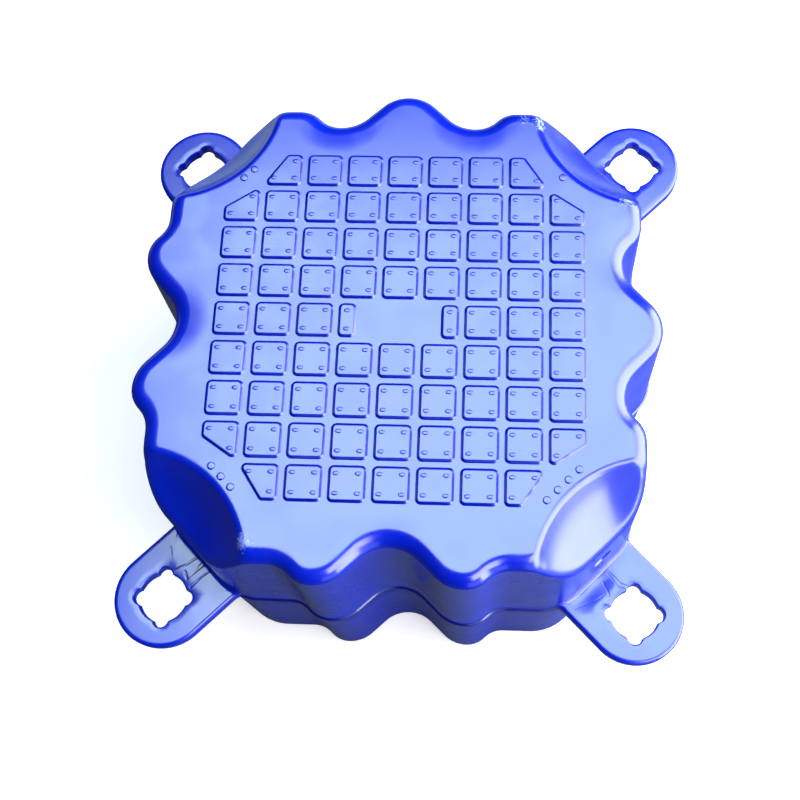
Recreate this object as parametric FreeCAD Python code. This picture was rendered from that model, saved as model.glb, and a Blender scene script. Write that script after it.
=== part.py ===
# Floating dock cube: one blow-moulded float with four stacked corner lugs.
# Millimetres, +Z up, origin under the middle of the base, front towards -Y.
import FreeCAD, Part
import math
import os

# Module and height
PIN_PITCH = 500.0            # between the pin axes of neighbouring corners
HEIGHT = 400.0               # base to deck, without the tread pads
SIDE_GAP = 6.0               # free space between two joined floats at the parting line

# Wavy sides, which nest into the neighbour's
WAVE_AMPLITUDE = 18.5
WAVE_HALF_PITCH = 71.0       # from a lobe to the next valley
WAVE_RADIUS = 40.0
WAVE_END_RADIUS = 30.0       # where the wave runs out into the flat end
UPPER_DRAFT = 5.0            # inset of the walls at the foot of the deck's rim
LOWER_DRAFT = 2.0            # inset of the walls at the base
RIM_RADIUS = 16.0
BASE_RADIUS = 14.0
RIM_STEPS = 4                # roundings are made of flat strips, to keep the facets few
BASE_STEPS = 3

# Corners
CORNER_CLEARANCE = 57.0      # corner wall to pin axis, at the parting line
CORNER_RADIUS = 60.0
CORNER_FLATS = 3             # flats in each rounding beside the corner wall
SCOOP_RADIUS = 115.0         # mouth of the corner scoop in the deck, about the pin axis
SCOOP_DEPTH = 66.0           # below the deck, where the scoop would reach the corner wall
SCOOP_SAG = 5.0              # hollow of the scoop's curved side
SCOOP_STEPS = 3
SCOOP_EDGE_RADIUS = 6.0      # rounding of the scoop's mouth
SCOOP_EDGE_STEPS = 2
SCOOP_OVERRUN = 10.0         # how far the cutter reaches past the corner wall

# Lugs, one level for each corner
LUG_TOP_HIGHEST = 268.0
LUG_STEP = 20.5
LUG_THICKNESS = 16.0
LUG_RADIUS = 52.5
LUG_EDGE_RADIUS = 4.5
LUG_EDGE_STEPS = 2
LUG_FLARE_RADIUS = 18.0
LUG_FLARE_BITE = 4.0         # how far the flare runs into the corner wall
HOLE_RADIUS = 25.5
HOLE_LOBE_RADIUS = 7.5
HOLE_LOBE_REACH = 31.5       # from the pin axis to the tip of a lobe

# Parting bead, which climbs from lug to lug
BEAD_HEIGHT = 2.4
BEAD_WIDTH = 4.0

# Tread pads on the deck
PAD_REACH = 4                # pads each side of the middle one
PAD_PITCH = 41.5
PAD_SIZE = 36.5
PAD_HEIGHT = 3.0
PAD_DRAFT = 1.5
PAD_CORNER_RADIUS = 5.5      # cut flat, touching the rounding's middle
PAD_CUT_OFFSET = 8.8         # straight cut of the corner pads, from their middle towards the pin axis
HALF_PAD_WIDTH = 17.8
SINK = 1.0                   # how far raised details reach down into the deck

# Number dots beside the scoops
DOT_DIAMETER = 8.0
DOT_HEIGHT = 2.2
DOT_PITCH = 14.3
DOT_DISTANCE = 125.0         # row of dots to pin axis
DOT_FACETS = 10
DOT_STEPS = 2

# Sealed blow-pin hole in the front right corner wall
PLUG_DIAMETER = 26.0
PLUG_DEPTH = 3.0
PLUG_HEIGHT = 286.0

ORIGIN = FreeCAD.Vector(0, 0, 0)
UP = FreeCAD.Vector(0, 0, 1)
# Corners in the order of their lugs from the top down, as the angle of their outward diagonal
CORNER_ANGLES = [45, 135, 225, 315]
# Sides as the angle of their outward normal, with +1 for a lobe or -1 for a valley in the middle
SIDES = [(0, 1), (90, 1), (180, -1), (270, -1)]


def turned(shape, degrees):
    result = shape.copy()
    result.rotate(ORIGIN, UP, degrees)
    return result


def at_corner(shape, angle):
    """Turn a shape drawn about the origin, with +X pointing outwards, and set it on a pin axis."""
    result = turned(shape, angle)
    result.translate(polar((0, 0), PIN_PITCH / math.sqrt(2), angle))
    return result


def polar(centre, radius, degrees):
    angle = math.radians(degrees)
    return FreeCAD.Vector(centre[0] + radius * math.cos(angle), centre[1] + radius * math.sin(angle), 0)


def arc(centre, radius, start, end):
    angles = (start, 0.5 * (start + end), end)
    return Part.Arc(*[polar(centre, radius, angle) for angle in angles]).toShape()


def closed_wire(edges, height=0.0):
    wire = Part.Wire(Part.__sortEdges__(edges))
    wire.translate(FreeCAD.Vector(0, 0, height))
    return wire


def stack(wires):
    """Solid with straight walls from each outline to the next, from the bottom up."""
    return Part.makeLoft(wires, True, True)


def rounding(radius, steps):
    """Inset and rise of each outline that rounds a bottom edge, from the bottom up."""
    angles = [0.5 * math.pi * step / steps for step in range(steps + 1)]
    return [(radius * (1 - math.sin(a)), radius * (1 - math.cos(a))) for a in angles]


def side_edges(sign, inset, draft):
    """One side, for a normal along +Y: its middle lobe or valley, two waves and two flat ends."""
    line = side_line(draft)
    lift = WAVE_RADIUS - WAVE_AMPLITUDE
    span = math.hypot(WAVE_HALF_PITCH, 2 * lift)
    slope = math.degrees(math.asin(2 * WAVE_RADIUS / span) - math.atan2(2 * lift, WAVE_HALF_PITCH))
    end_slope = math.degrees(math.acos(1 - 0.5 * WAVE_AMPLITUDE / WAVE_END_RADIUS))
    end = WAVE_HALF_PITCH + 2 * WAVE_END_RADIUS * math.sin(math.radians(end_slope))
    top = 90 * sign
    middle = arc((0, line - sign * lift), WAVE_RADIUS - sign * inset, top + sign * slope, top - sign * slope)
    wave = arc((WAVE_HALF_PITCH, line + sign * lift), WAVE_RADIUS + sign * inset, -top - sign * slope, -top)
    leave = arc((WAVE_HALF_PITCH, line + sign * (WAVE_END_RADIUS - WAVE_AMPLITUDE)),
                WAVE_END_RADIUS + sign * inset, -top, -top + sign * end_slope)
    last = arc((end, line - sign * WAVE_END_RADIUS), WAVE_END_RADIUS - sign * inset, top + sign * end_slope, top)
    flank = Part.makeLine(middle.lastVertex().Point, wave.firstVertex().Point)
    flat = Part.makeLine(last.lastVertex().Point, FreeCAD.Vector(corner_start(draft), line - inset, 0))
    half = [flank, wave, leave, last, flat]
    return [middle] + half + [edge.mirror(ORIGIN, FreeCAD.Vector(1, 0, 0)) for edge in half]


def side_line(draft):
    """Middle line of a side's wave, from the float's axis."""
    return 0.5 * (PIN_PITCH - SIDE_GAP) - draft


def corner_start(draft):
    """Where the +Y side ends and the first quadrant's corner starts, along X."""
    reach = CORNER_CLEARANCE + draft + CORNER_RADIUS
    return PIN_PITCH - math.sqrt(2) * reach - (side_line(draft) - CORNER_RADIUS)


def corner_edges(inset, draft):
    """Corner of the first quadrant: a diagonal wall between two roundings, each made of flats."""
    near, far = corner_start(draft), side_line(draft) - CORNER_RADIUS
    sweep = [45 * flat / CORNER_FLATS for flat in range(CORNER_FLATS + 1)]
    first = [polar((near, far), CORNER_RADIUS - inset, 90 - angle) for angle in sweep]
    last = [polar((far, near), CORNER_RADIUS - inset, 45 - angle) for angle in sweep]
    points = first + last
    return [Part.makeLine(start, end) for start, end in zip(points, points[1:])]


def level_outline(inset, draft, height):
    """Outline of the body at one level, moved in by the draft and then inset evenly."""
    edges = []
    for angle, sign in SIDES:
        edges += [turned(edge, angle - 90) for edge in side_edges(sign, inset, draft)]
        edges += [turned(edge, angle) for edge in corner_edges(inset, draft)]
    return closed_wire(edges, height)


def climbing_outline(inset, rise):
    """Widest outline, level at each corner and climbing along each side from lug to lug."""
    edges = []
    reach = corner_start(0)
    for number, (angle, sign) in enumerate(SIDES):
        right, left = parting_height(number - 1), parting_height(number)
        climb = FreeCAD.Matrix()
        climb.A31 = 0.5 * (right - left) / reach
        climb.A34 = 0.5 * (right + left)
        edges += [turned(edge.transformGeometry(climb), angle - 90) for edge in side_edges(sign, inset, 0)]
        for edge in corner_edges(inset, 0):
            edge.translate(UP * left)
            edges.append(turned(edge, angle))
    return closed_wire(edges, rise)


def parting_height(number):
    """Height of the parting line at one corner, halfway up its lug."""
    return lug_height(number % len(CORNER_ANGLES)) + 0.5 * LUG_THICKNESS


def wavy_block():
    """Drafted wavy block with rounded rims and the parting bead round it."""
    base = [level_outline(inset, LOWER_DRAFT, rise) for inset, rise in rounding(BASE_RADIUS, BASE_STEPS)]
    half = 0.5 * BEAD_WIDTH
    bead = [climbing_outline(0, -half), climbing_outline(-BEAD_HEIGHT, 0), climbing_outline(0, half)]
    rim = [level_outline(inset, UPPER_DRAFT, HEIGHT - rise) for inset, rise in rounding(RIM_RADIUS, RIM_STEPS)]
    return stack(base + bead + rim[::-1])


def scoop_profile():
    """Scoop's section as distances from the pin axis and heights, from the mouth down."""
    run, fall = SCOOP_RADIUS - CORNER_CLEARANCE, SCOOP_DEPTH
    chord = math.hypot(run, fall)
    radius = chord * chord / (8 * SCOOP_SAG) + 0.5 * SCOOP_SAG
    half = math.asin(0.5 * chord / radius)
    steep = math.atan2(fall, run) + half
    pull = SCOOP_EDGE_RADIUS * math.tan(0.5 * steep)
    points = []
    for step in range(SCOOP_EDGE_STEPS + 1):
        turn = steep * step / SCOOP_EDGE_STEPS
        points.append((SCOOP_RADIUS + pull - SCOOP_EDGE_RADIUS * math.sin(turn),
                       HEIGHT - SCOOP_EDGE_RADIUS * (1 - math.cos(turn))))
    for step in range(1, SCOOP_STEPS + 1):
        slope = steep - 2 * half * step / SCOOP_STEPS
        points.append((SCOOP_RADIUS - radius * (math.sin(steep) - math.sin(slope)),
                       HEIGHT - radius * (math.cos(slope) - math.cos(steep))))
    return points


def ring(radius, height):
    """Circle as a free-form curve, which lofts into lighter walls than a plain one."""
    circle = Part.makeCircle(radius, FreeCAD.Vector(0, 0, height))
    return Part.Wire(circle.toNurbs().Edges)


def scoop_cutter():
    """Bowl about a pin axis that hollows the deck's corner."""
    points = scoop_profile()
    low_radius, low_height = points[-1]
    before_radius, before_height = points[-2]
    slope = (low_height - before_height) / (low_radius - before_radius)
    points.append((low_radius - SCOOP_OVERRUN, low_height - slope * SCOOP_OVERRUN))
    points.insert(0, (points[0][0], HEIGHT + SCOOP_OVERRUN))
    return stack([ring(radius, height) for radius, height in reversed(points)])


def lug_height(number):
    """Underside of the lug of one corner, counted from the top one."""
    return LUG_TOP_HIGHEST - number * LUG_STEP - LUG_THICKNESS


def lug_outline(inset, height):
    """Outline of a lug about its pin axis, with +X pointing away from the body."""
    half_wall = 0.5 * math.sqrt(2) * (side_line(0) - CORNER_RADIUS - corner_start(0))
    tail = -CORNER_CLEARANCE - CORNER_RADIUS
    across = LUG_RADIUS + LUG_FLARE_RADIUS
    reach = math.sqrt((CORNER_RADIUS + LUG_FLARE_RADIUS) ** 2 - (across - half_wall) ** 2)
    flare = tail + reach - LUG_FLARE_BITE
    side = LUG_RADIUS - inset
    flank = Part.makeLine(FreeCAD.Vector(0, side, 0), FreeCAD.Vector(flare, side, 0))
    curve = arc((flare, across), LUG_FLARE_RADIUS + inset, -90, -180)
    root = Part.makeLine(curve.lastVertex().Point, FreeCAD.Vector(tail, across, 0))
    half = [flank, curve, root]
    other = [edge.mirror(ORIGIN, FreeCAD.Vector(0, 1, 0)) for edge in half]
    back = Part.makeLine(FreeCAD.Vector(tail, across, 0), FreeCAD.Vector(tail, -across, 0))
    return closed_wire([arc((0, 0), side, -90, 90)] + half + [back] + other, height)


def pin_hole(turn):
    """Cutter of the pin hole: a round hole with four lobes, which lie along the module's axes."""
    cutter = Part.makeCylinder(HOLE_RADIUS, LUG_THICKNESS)
    lobes = []
    for quarter in range(4):
        centre = polar((0, 0), HOLE_LOBE_REACH - HOLE_LOBE_RADIUS, 90 * quarter + turn)
        lobes.append(Part.makeCylinder(HOLE_LOBE_RADIUS, LUG_THICKNESS, centre))
    return cutter.fuse(lobes)


def lug(number):
    edge = rounding(LUG_EDGE_RADIUS, LUG_EDGE_STEPS)
    low = [lug_outline(inset, rise) for inset, rise in edge]
    high = [lug_outline(inset, LUG_THICKNESS - rise) for inset, rise in edge]
    angle = CORNER_ANGLES[number]
    plate = stack(low + high[::-1]).cut(pin_hole(-angle))
    plate.translate(UP * lug_height(number))
    return at_corner(plate, angle)


def cut_corners(points, radius, inset, height):
    """Convex outline, anticlockwise, moved inwards, with a flat across each corner's rounding."""
    corners = []
    for index, here in enumerate(points):
        into = (here - points[index - 1]).normalize()
        away = (points[(index + 1) % len(points)] - here).normalize()
        turn = math.acos(max(-1.0, min(1.0, into.dot(away))))
        pull = radius * math.tan(0.5 * turn)
        inward = FreeCAD.Vector(-into.y, into.x, 0)
        centre = here - into * pull + inward * radius
        outer = radius - inset
        reach = outer * math.tan(0.25 * turn)
        corners.append(centre - inward * outer + into * reach)
        corners.append(centre - FreeCAD.Vector(-away.y, away.x, 0) * outer - away * reach)
    wire = Part.makePolygon(corners + corners[:1])
    wire.translate(UP * height)
    return wire


def clipped(points, target, offset):
    """Cut a convex outline by a line across the way from its middle to one point."""
    middle = sum(points, FreeCAD.Vector()) * (1 / len(points))
    along = (target - middle).normalize()
    kept = []
    for index, here in enumerate(points):
        before = points[index - 1]
        past_before, past_here = (before - middle).dot(along) - offset, (here - middle).dot(along) - offset
        if past_before * past_here < 0:
            kept.append(before + (here - before) * (past_before / (past_before - past_here)))
        if past_here <= 0:
            kept.append(here)
    return kept


def rectangle(left, right, front, back):
    return [FreeCAD.Vector(x, y, 0) for x, y in ((left, front), (right, front), (right, back), (left, back))]


def pad_outline(column, row):
    """Plan of one tread pad, or nothing where the deck is left plain."""
    half = 0.5 * PAD_SIZE
    x, y = column * PAD_PITCH, row * PAD_PITCH
    if abs(column) + abs(row) == 0 or abs(column) == abs(row) == PAD_REACH:
        return None
    square = rectangle(x - half, x + half, y - half, y + half)
    if row == 0 and column == -1:
        return rectangle(x - half, x - half + HALF_PAD_WIDTH, y - half, y + half)
    if row == 0 and column == 1:
        return rectangle(x + half - HALF_PAD_WIDTH, x + half, y - half, y + half)
    if abs(column) + abs(row) == 2 * PAD_REACH - 1:
        pin = FreeCAD.Vector(math.copysign(0.5 * PIN_PITCH, x), math.copysign(0.5 * PIN_PITCH, y), 0)
        return clipped(square, pin, PAD_CUT_OFFSET)
    return square


def tread_pads():
    pads = []
    numbers = range(-PAD_REACH, PAD_REACH + 1)
    for column in numbers:
        for row in numbers:
            points = pad_outline(column, row)
            if points:
                foot = cut_corners(points, PAD_CORNER_RADIUS, 0, HEIGHT - SINK)
                crown = cut_corners(points, PAD_CORNER_RADIUS, PAD_DRAFT, HEIGHT + PAD_HEIGHT)
                pads.append(stack([foot, crown]))
    return pads


def dot_outline(radius, height):
    corners = [polar((0, 0), radius, 360 * facet / DOT_FACETS) for facet in range(DOT_FACETS)]
    wire = Part.makePolygon(corners + corners[:1])
    wire.translate(UP * height)
    return wire


def number_dot():
    """Domed dot about the origin."""
    radius = 0.5 * DOT_DIAMETER
    wires = [dot_outline(radius, HEIGHT - SINK)]
    for step in range(DOT_STEPS + 1):
        angle = 0.5 * math.pi * step / (DOT_STEPS + 1)
        wires.append(dot_outline(radius * math.cos(angle), HEIGHT + DOT_HEIGHT * math.sin(angle)))
    return stack(wires)


def number_dots():
    """Dots at each corner, one for the highest lug up to four for the lowest."""
    dots = []
    for number, angle in enumerate(CORNER_ANGLES):
        for index in range(number + 1):
            dot = number_dot()
            dot.translate(FreeCAD.Vector(-DOT_DISTANCE, (index - 0.5 * number) * DOT_PITCH, 0))
            dots.append(at_corner(dot, angle))
    return dots


def plug_recess():
    """Round recess left by the blow pin, in the wall over the lowest lug."""
    number = len(CORNER_ANGLES) - 1
    low = parting_height(number)
    draft = UPPER_DRAFT * (PLUG_HEIGHT - low) / (HEIGHT - RIM_RADIUS - low)
    start = FreeCAD.Vector(-CORNER_CLEARANCE - draft - PLUG_DEPTH, 0, PLUG_HEIGHT)
    cutter = Part.makeCylinder(0.5 * PLUG_DIAMETER, CORNER_CLEARANCE, start, FreeCAD.Vector(1, 0, 0))
    return at_corner(cutter, CORNER_ANGLES[number])


def float_body():
    body = wavy_block()
    body = body.cut([at_corner(scoop_cutter(), angle) for angle in CORNER_ANGLES] + [plug_recess()])
    return body.fuse([lug(number) for number in range(len(CORNER_ANGLES))] + tread_pads() + number_dots())


def main():
    os.makedirs("parts", exist_ok=True)
    body = float_body()
    solids = body.Solids
    print("solids", len(solids), "valid", body.isValid(), "volume", round(body.Volume / 1e6, 4), "litres")
    solids[0].exportStep("parts/float_body.step")


if __name__ == "__main__":
    main()
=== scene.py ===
"""Looks of a floating dock cube: its moulded skin, tread pads, lugs and dots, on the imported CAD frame."""
import math

import bmesh
import bpy
from bpy.props import FloatProperty, FloatVectorProperty, IntProperty, PointerProperty
from mathutils import Matrix, Vector


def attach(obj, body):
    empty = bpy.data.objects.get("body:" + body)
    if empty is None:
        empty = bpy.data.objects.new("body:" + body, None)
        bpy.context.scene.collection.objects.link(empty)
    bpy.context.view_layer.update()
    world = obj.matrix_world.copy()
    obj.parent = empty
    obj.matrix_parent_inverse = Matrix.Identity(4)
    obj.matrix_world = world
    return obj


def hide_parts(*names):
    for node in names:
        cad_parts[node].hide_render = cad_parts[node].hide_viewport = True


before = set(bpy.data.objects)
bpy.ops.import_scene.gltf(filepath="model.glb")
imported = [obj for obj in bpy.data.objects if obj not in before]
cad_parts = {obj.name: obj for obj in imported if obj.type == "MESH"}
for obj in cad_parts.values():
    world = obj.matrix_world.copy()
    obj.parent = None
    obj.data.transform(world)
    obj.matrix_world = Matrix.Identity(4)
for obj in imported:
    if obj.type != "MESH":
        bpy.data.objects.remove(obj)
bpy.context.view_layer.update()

bl_info = {
    "name": "Dock float skin",
    "version": (1, 0, 0),
    "blender": (4, 5, 0),
    "location": "View3D > Sidebar > Dock Float",
    "description": "Builds the moulded skin of a floating dock cube on its CAD frame",
    "category": "Object",
}

MM = 0.001
BODY = "root"
CAD_NODE = "float_body"
# Corners in the order of their lugs from the top down, as the angle of their outward diagonal
CORNER_ANGLES = (45, 135, 225, 315)
# Sides as the angle of their outward normal, with +1 for a lobe or -1 for a valley in the middle
SIDES = ((0, 1), (90, 1), (180, -1), (270, -1))


def length(name, description, value):
    """Size in metres, given in millimetres."""
    return FloatProperty(name=name, description=description, default=value * MM, min=0.0, unit="LENGTH")


def fraction(name, description, value):
    return FloatProperty(name=name, description=description, default=value, min=0.0, max=1.0)


def colour(name, description, value):
    return FloatVectorProperty(name=name, description=description, default=value, size=3,
                               min=0.0, max=1.0, subtype="COLOR")


class FloatSizes(bpy.types.PropertyGroup):
    """Sizes of the moulded float."""
    pin_pitch: length("Pin pitch", "Between the pin axes of neighbouring corners", 500)
    height: length("Height", "Base to deck, without the tread pads", 400)
    side_gap: length("Side gap", "Free space between two joined floats", 6)
    wave_amplitude: length("Wave amplitude", "Reach of a lobe from the wave's middle line", 18.5)
    wave_half_pitch: length("Wave half pitch", "From a lobe to the next valley", 71)
    wave_radius: length("Wave radius", "Radius of lobes and valleys", 40)
    wave_end_radius: length("Wave end radius", "Radius where the wave runs out", 30)
    upper_draft: length("Upper draft", "Inset of the walls at the foot of the rim", 5)
    lower_draft: length("Lower draft", "Inset of the walls at the base", 2)
    rim_radius: length("Rim radius", "Rounding of the deck's rim", 16)
    base_radius: length("Base radius", "Rounding of the base", 14)
    corner_clearance: length("Corner clearance", "Corner wall to pin axis", 57)
    corner_radius: length("Corner radius", "Rounding beside the corner walls", 60)
    scoop_radius: length("Scoop radius", "Mouth of a corner scoop, about the pin axis", 115)
    scoop_depth: length("Scoop depth", "Below the deck, at the corner wall", 66)
    scoop_sag: length("Scoop sag", "Hollow of the scoop's side", 5)
    scoop_edge_radius: length("Scoop edge radius", "Rounding of the scoop's mouth", 9)
    horn_radius: length("Horn radius", "Rounding of the scoop's mouth where it meets the wall", 30)
    bead_height: length("Bead height", "How far the parting bead stands proud", 2.4)
    bead_half_width: length("Bead half width", "From the parting line to the bead's foot", 3.1)
    plug_diameter: length("Plug diameter", "Round recess left by the blow pin", 26)
    plug_depth: length("Plug depth", "Depth of the blow pin's recess", 3)
    plug_slope: length("Plug slope", "Run of the recess's sloping side", 2)
    plug_height: length("Plug height", "Middle of the blow pin's recess above the base", 286)


class LugSizes(bpy.types.PropertyGroup):
    """Sizes of the corner lugs."""
    top_highest: length("Top of the highest lug", "Height above the base", 268)
    step: length("Step", "From one lug down to the next", 20.5)
    thickness: length("Thickness", "Thickness of a lug", 16)
    radius: length("Radius", "Half width of a lug and radius of its tip", 52.5)
    edge_radius: length("Edge radius", "Rounding of the outer edges", 4.5)
    flare_radius: length("Flare radius", "Rounding in plan where a lug leaves the wall", 22)
    flare_bite: length("Flare bite", "How far the flare runs into the corner wall", 3)
    root_radius: length("Root radius", "Fillet between a lug's faces and the wall", 4)
    hole_radius: length("Hole radius", "Round part of the pin hole", 25.5)
    lobe_radius: length("Lobe radius", "Radius of each of the hole's four lobes", 7.5)
    lobe_reach: length("Lobe reach", "From the pin axis to the tip of a lobe", 31.5)
    hole_edge_radius: length("Hole edge radius", "Rounding of the hole's edges", 2)
    neck: length("Neck", "Softness of the necks between hole and lobes", 5)


class TreadSizes(bpy.types.PropertyGroup):
    """Sizes of the tread pads and number dots."""
    reach: IntProperty(name="Reach", description="Pads each side of the middle one", default=4, min=1)
    pitch: length("Pitch", "Between the middles of two pads", 41.5)
    size: length("Size", "Width of a pad at its foot", 36.5)
    pad_height: length("Height", "Height of a pad above the deck", 2.2)
    slope: length("Slope", "Run of a pad's sloping sides", 1.7)
    edge_radius: length("Edge radius", "Rounding of a pad's upper edge", 0.9)
    corner_radius: length("Corner radius", "Rounding of a pad's corners", 5.5)
    cut_offset: length("Cut offset", "Straight cut of the corner pads, from their middle", 8.8)
    half_width: length("Half pad width", "Width of the two pads beside the plain middle", 17.8)
    pip_length: length("Pip length", "Length of a raised pip, along X", 6.6)
    pip_width: length("Pip width", "Width of a raised pip, along Y", 4.4)
    pip_height: length("Pip height", "Height of a pip above its pad", 0.8)
    pip_side: length("Pip side", "From a pad's middle to its pips, along X", 10.6)
    pip_front: length("Pip front", "From a pad's middle to its pips, along Y", 9.7)
    dot_diameter: length("Dot diameter", "Diameter of a number dot", 8)
    dot_height: length("Dot height", "Height of a number dot", 1.6)
    dot_pitch: length("Dot pitch", "Between two number dots", 14.3)
    dot_distance: length("Dot distance", "Row of dots to pin axis", 125)
    sink: length("Sink", "How far raised details reach down into the deck", 0.3)


class PlasticLooks(bpy.types.PropertyGroup):
    """Colours of the plastic and of the stage."""
    blue: colour("Plastic blue", "Colour of the moulded plastic", (0.0008, 0.016, 0.56))
    deep_blue: colour("Deeper blue", "Where the plastic lies a little darker", (0.0006, 0.011, 0.48))
    # Painted shade: colour laid into the lugs' creases, the feet of the tread pads, pips and dots, and the
    # rows over the parting bead
    shade: colour("Creases", "Creases and the feet of raised details", (0.0, 0.003, 0.16))
    scuffed: colour("Scuffs", "Scuffed and scratched plastic", (0.42, 0.5, 0.95))
    smoothest: fraction("Smoothest", "Lowest roughness", 0.2)
    roughest: fraction("Roughest", "Highest roughness", 0.26)
    floor: colour("Floor", "Colour of the floor for the camera", (0.95, 0.85, 0.84))
    floor_near: colour("Floor nearby", "What the floor by the float throws back", (0.13, 0.14, 0.16))
    floor_far: colour("Floor further off", "What the floor further off throws back", (0.03, 0.03, 0.03))
    floor_back: colour("Floor behind", "What the floor behind the float throws back", (0.42, 0.48, 0.5))
    floor_right: colour("Floor right", "What the floor on the right throws back", (0.18, 0.19, 0.19))
    surroundings: colour("Surroundings", "Light from the room around the object", (0.006, 0.014, 0.08))


def turned(vector, degrees):
    """Plan vector turned about the vertical axis."""
    angle = math.radians(degrees)
    cos, sin = math.cos(angle), math.sin(angle)
    return Vector((vector.x * cos - vector.y * sin, vector.x * sin + vector.y * cos))


def polar(radius, degrees):
    angle = math.radians(degrees)
    return Vector((radius * math.cos(angle), radius * math.sin(angle)))


def mix(start, end, share):
    return start + (end - start) * share


def eased(share):
    share = max(0.0, min(1.0, share))
    return share * share * (3 - 2 * share)


def spread(count):
    """Even shares from 0 up to, but without, 1."""
    return [index / count for index in range(count)]


def quarter_round(radius, rows):
    """Pairs of inset and rise along a rounded edge, from its flat face to its side."""
    turns = [0.5 * math.pi * row / rows for row in range(rows + 1)]
    return [(radius * (1 - math.sin(turn)), radius * (1 - math.cos(turn))) for turn in turns]


def placed(name, data):
    """New object in the scene."""
    made = bpy.data.objects.new(name, data)
    bpy.context.scene.collection.objects.link(made)
    return made


def mesh_of(bm, name, *materials):
    """Mesh of what was modelled."""
    mesh = bpy.data.meshes.new(name)
    bm.to_mesh(mesh)
    bm.free()
    for material in materials:
        mesh.materials.append(material)
    return mesh


class Station:
    """One place on an outline: its point, outward normal, and move for each metre of draft."""

    def __init__(self, point, normal, shift, climb=0.0):
        self.point, self.normal, self.shift, self.climb = point, normal, shift, climb

    def at(self, inset=0.0, draft=0.0):
        return self.point - self.normal * inset + self.shift * draft

    def turned(self, degrees):
        return Station(turned(self.point, degrees), turned(self.normal, degrees),
                       turned(self.shift, degrees), self.climb)

    def mirrored(self):
        """Across the local Y axis."""
        flip = [Vector((-v.x, v.y)) for v in (self.point, self.normal, self.shift)]
        return Station(*flip, self.climb)


def arc(centre, radius, start, stop, steps, facing=1, shift=(0, 0)):
    """Stations on an arc between two angles, without its last point."""
    for share in spread(steps):
        way = polar(1, mix(start, stop, share))
        yield Station(Vector(centre) + way * radius, way * facing, Vector(shift))


def straight(start, stop, normal, steps, shift=(0, 0)):
    """Stations from one point towards another, without the last one."""
    for share in spread(steps):
        yield Station(start.lerp(stop, share), Vector(normal), Vector(shift))


def pin_axis(sizes, angle):
    """Plan of the pin axis at the corner of one angle."""
    return polar(sizes.pin_pitch / math.sqrt(2), angle)


def side_line(sizes):
    """Middle line of a side's wave, from the float's axis."""
    return 0.5 * (sizes.pin_pitch - sizes.side_gap)


def corner_start(sizes):
    """Where a side ends and the corner's rounding starts, from the float's axis."""
    reach = sizes.corner_clearance + sizes.corner_radius
    return sizes.pin_pitch - math.sqrt(2) * reach - (side_line(sizes) - sizes.corner_radius)


# Points along the pieces of the float's outline
WAVE_STEPS, FLANK_STEPS, RUN_OUT_STEPS, STRAIGHT_STEPS = 14, 3, 8, 14
CORNER_STEPS, CORNER_WALL_STEPS = 16, 24
# A corner's rounding moves this far along the side for each metre that the side moves inwards
SLIDE = math.sqrt(2) - 1
# The rim's rounding turns this far and meets the wall in a faint crease
RIM_TURN = math.radians(70)
# Rounds that find where the drafted wall meets the rim
FITTING_ROUNDS = 6
# Power that blends the rim's drop with the scoop's; the lower, the rounder the horn between them
HORN_POWER = 1.8


def half_side(sizes, sign):
    """Stations of half a side from its middle to the corner, for a normal along +Y."""
    line = side_line(sizes)
    radius, end_radius = sizes.wave_radius, sizes.wave_end_radius
    lift = radius - sizes.wave_amplitude
    pitch = sizes.wave_half_pitch
    span = math.hypot(pitch, 2 * lift)
    slope = math.degrees(math.asin(2 * radius / span) - math.atan2(2 * lift, pitch))
    end_slope = math.degrees(math.acos(1 - 0.5 * sizes.wave_amplitude / end_radius))
    end = pitch + 2 * end_radius * math.sin(math.radians(end_slope))
    inward = (0, -1)
    top, leaving, landing = 90 * sign, 90 * sign - sign * slope, -90 * sign - sign * slope
    middle, second = (0, line - sign * lift), (pitch, line + sign * lift)
    third = (pitch, line - sign * (sizes.wave_amplitude - end_radius))
    flank = Vector(middle) + polar(radius, leaving), Vector(second) + polar(radius, landing)
    stations = [
        *arc(middle, radius, top, leaving, WAVE_STEPS, sign, inward),
        *straight(*flank, polar(sign, leaving), FLANK_STEPS, inward),
        *arc(second, radius, landing, -top, WAVE_STEPS, -sign, inward),
        *arc(third, end_radius, -top, -top + sign * end_slope, RUN_OUT_STEPS, -sign, inward),
        *arc((end, line - sign * end_radius), end_radius, top + sign * end_slope, top,
             RUN_OUT_STEPS, sign, inward),
    ]
    start, stop = Vector((end, line)), Vector((corner_start(sizes), line))
    for share in [*spread(STRAIGHT_STEPS), 1.0]:
        stations.append(Station(start.lerp(stop, share), Vector((0, 1)), Vector((-SLIDE * share, -1))))
    return stations


def corner_stations(sizes):
    """Stations of the first quadrant's corner, anticlockwise, without its first and last one."""
    near, far = corner_start(sizes), side_line(sizes) - sizes.corner_radius
    first, last = Vector((far, near)), Vector((near, far))
    first_shift, last_shift = Vector((-1, -SLIDE)), Vector((-SLIDE, -1))
    stations = [*arc(first, sizes.corner_radius, 0, 45, CORNER_STEPS, 1, first_shift)][1:]
    way = polar(1, 45)
    for share in spread(CORNER_WALL_STEPS):
        centre, shift = first.lerp(last, share), first_shift.lerp(last_shift, share)
        stations.append(Station(centre + way * sizes.corner_radius, way, shift))
    stations += arc(last, sizes.corner_radius, 45, 90, CORNER_STEPS, 1, last_shift)
    return stations


def parting_height(lugs, number):
    """Height of the parting line at one corner, halfway up its lug."""
    return lugs.top_highest - number % len(CORNER_ANGLES) * lugs.step - 0.5 * lugs.thickness


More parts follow.
